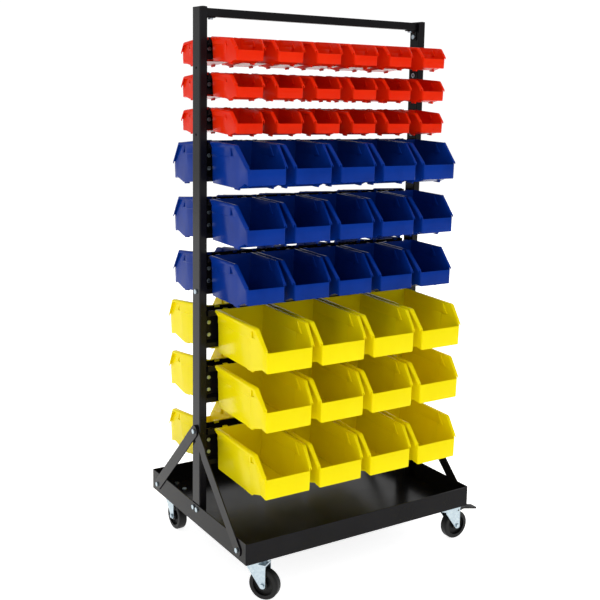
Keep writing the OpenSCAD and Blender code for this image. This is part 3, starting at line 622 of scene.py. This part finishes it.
# %% [markdown]
# The frame is mild steel with a black powder coat: paint that is sprayed on dry and baked. It is semi-gloss, has a
# fine orange peel, and carries a little dust that lifts its black and dulls its gloss in patches. The sheet of the
# tray looks duller than the tubes, so it gets the same recipe with less shine.

# %% Powder coat
DUST, ORANGE_PEEL = 90 * MM, 2.5 * MM


def powder_coat(name, shine):
    # Nearly black, with blurred bright reflections that the orange peel makes uneven
    finish = bpy.data.materials.new(name)
    finish.use_nodes = True
    tree = finish.node_tree
    shader = tree.nodes["Principled BSDF"]
    shader.inputs["Specular IOR Level"].default_value = shine
    place = add(tree, "ShaderNodeTexCoord").outputs["Object"]
    dust = add(tree, "ShaderNodeTexNoise", Vector=place, Scale=1 / DUST, Detail=5.0)
    tone = add(tree, "ShaderNodeValToRGB", Fac=dust.outputs["Fac"])
    for stop, at, hex_tone in zip(tone.color_ramp.elements, (0.35, 0.7), ("#0d0c0e", "#131215")):
        stop.position, stop.color = at, to_linear(hex_tone)
    tree.links.new(tone.outputs["Color"], shader.inputs["Base Color"])
    gloss = add(tree, "ShaderNodeMapRange", Value=dust.outputs["Fac"],
                From_Min=0.3, From_Max=0.7, To_Min=0.18, To_Max=0.26)
    tree.links.new(gloss.outputs["Result"], shader.inputs["Roughness"])
    peel = add(tree, "ShaderNodeTexNoise", Vector=place, Scale=1 / ORANGE_PEEL, Detail=1.5)
    bump = add(tree, "ShaderNodeBump", Strength=0.1, Distance=0.3 * MM, Height=peel.outputs["Fac"])
    tree.links.new(bump.outputs["Normal"], shader.inputs["Normal"])
    return finish


frame_paint = powder_coat("black powder coated steel", 0.15)
tray_paint = powder_coat("black powder coated sheet", 0.1)
print("paints:", frame_paint.name, tray_paint.name)

# %% [markdown]
# Bolts, forks and caster plates are steel with bright zinc plating, a bluish grey metal. The plating grows in small
# crystals, which show as soft spangles, and it stains a little, which makes the gloss uneven.

# %% Zinc plate
SPANGLE, STAIN = 4 * MM, 12 * MM


def zinc_plate():
    # A pale metal whose facets differ slightly in tone, with a blurred shine
    finish = bpy.data.materials.new("bright zinc plated steel")
    finish.use_nodes = True
    tree = finish.node_tree
    shader = tree.nodes["Principled BSDF"]
    shader.inputs["Metallic"].default_value = 1
    place = add(tree, "ShaderNodeTexCoord").outputs["Object"]
    spangle = add(tree, "ShaderNodeTexVoronoi", Vector=place, Scale=1 / SPANGLE)
    tone = add(tree, "ShaderNodeValToRGB", Fac=spangle.outputs["Color"])
    for stop, at, hex_tone in zip(tone.color_ramp.elements, (0.2, 0.8), ("#a9b8c2", "#b9c6cd")):
        stop.position, stop.color = at, to_linear(hex_tone)
    tree.links.new(tone.outputs["Color"], shader.inputs["Base Color"])
    stain = add(tree, "ShaderNodeTexNoise", Vector=place, Scale=1 / STAIN, Detail=4.0)
    gloss = add(tree, "ShaderNodeMapRange", Value=stain.outputs["Fac"],
                From_Min=0.3, From_Max=0.7, To_Min=0.24, To_Max=0.42)
    tree.links.new(gloss.outputs["Result"], shader.inputs["Roughness"])
    return finish


zinc = zinc_plate()
print("metal:", zinc.name)

# %% [markdown]
# Wheels, caps and pedals are black plastics. The wheels are polyurethane, dull from rolling. The caps and the pedals
# are nylon with a fine moulded grain. One recipe makes both: wear lifts the black and roughens it in patches.

# %% Black plastics
WEAR = 20 * MM


def black_plastic(name, hex_colour, hex_worn, grain_mm, rough, worn_rough):
    # A dull black with greyer worn patches, and a pebbled surface that spreads its highlights
    finish = bpy.data.materials.new(name)
    finish.use_nodes = True
    tree = finish.node_tree
    shader = tree.nodes["Principled BSDF"]
    shader.inputs["Specular IOR Level"].default_value = 0.25
    place = add(tree, "ShaderNodeTexCoord").outputs["Object"]
    wear = add(tree, "ShaderNodeTexNoise", Vector=place, Scale=1 / WEAR, Detail=6.0, Roughness=0.6)
    tone = add(tree, "ShaderNodeValToRGB", Fac=wear.outputs["Fac"])
    for stop, at, hex_tone in zip(tone.color_ramp.elements, (0.4, 0.75), (hex_colour, hex_worn)):
        stop.position, stop.color = at, to_linear(hex_tone)
    tree.links.new(tone.outputs["Color"], shader.inputs["Base Color"])
    gloss = add(tree, "ShaderNodeMapRange", Value=wear.outputs["Fac"],
                From_Min=0.3, From_Max=0.7, To_Min=rough, To_Max=worn_rough)
    tree.links.new(gloss.outputs["Result"], shader.inputs["Roughness"])
    grain = add(tree, "ShaderNodeTexVoronoi", Vector=place, Scale=1 / (grain_mm * MM))
    bump = add(tree, "ShaderNodeBump", Strength=0.15, Distance=0.2 * MM, Height=grain.outputs["Distance"])
    tree.links.new(bump.outputs["Normal"], shader.inputs["Normal"])
    return finish


wheel_black = black_plastic("black polyurethane", "#070708", "#101011", 1.2, 0.42, 0.6)
cap_black = black_plastic("black grained nylon", "#0b0b0c", "#151516", 0.8, 0.38, 0.5)
print("black plastics:", wheel_black.name, cap_black.name)

# %% [markdown]
# The CAD nodes that are not replaced keep their exact shape. They only get a finish and live modifiers: a weld for
# their loose triangles, a dissolve that clears the lines from flat faces, a bevel, and weighted normals that keep the
# flats flat. The bevel breaks the edges by a fraction of a millimetre, because no real edge is sharp and it is the
# edge that catches the light. The record says which slot a node has, and the slot says the finish.

# %% Dress the CAD nodes
FINISHES = {"frame_paint": frame_paint, "zinc": zinc, "wheel_black": wheel_black, "black_plastic": cap_black}
SOFT_EDGE_MM, WHEEL_EDGE_MM, TRAY_EDGE_MM = 0.4, 0.8, 0.6

dressed = 0
for part in frame["record"]["subparts"]:
    name, node = part["node"], frame["nodes"][part["node"]]
    if name.endswith(("_bin", "_bins")):
        continue
    tray, wheel = name == "base_tray", name.endswith("_wheel")
    node.data.materials.clear()
    node.data.materials.append(tray_paint if tray else FINISHES[part["material_slot"]])
    node.modifiers.new("weld", "WELD").merge_threshold = 0.005 * MM
    flat = node.modifiers.new("flat", "DECIMATE")
    flat.decimate_type, flat.angle_limit = "DISSOLVE", radians(1)
    edge = node.modifiers.new("edge", "BEVEL")
    edge.width = (TRAY_EDGE_MM if tray else WHEEL_EDGE_MM if wheel else SOFT_EDGE_MM) * MM
    edge.segments, edge.limit_method, edge.angle_limit = 2, "ANGLE", radians(35)
    node.modifiers.new("flat faces", "WEIGHTED_NORMAL").weight = 100
    take(node)
    bpy.ops.object.shade_smooth_by_angle(angle=radians(35))
    dressed += 1
print("dressed", dressed, "nodes")
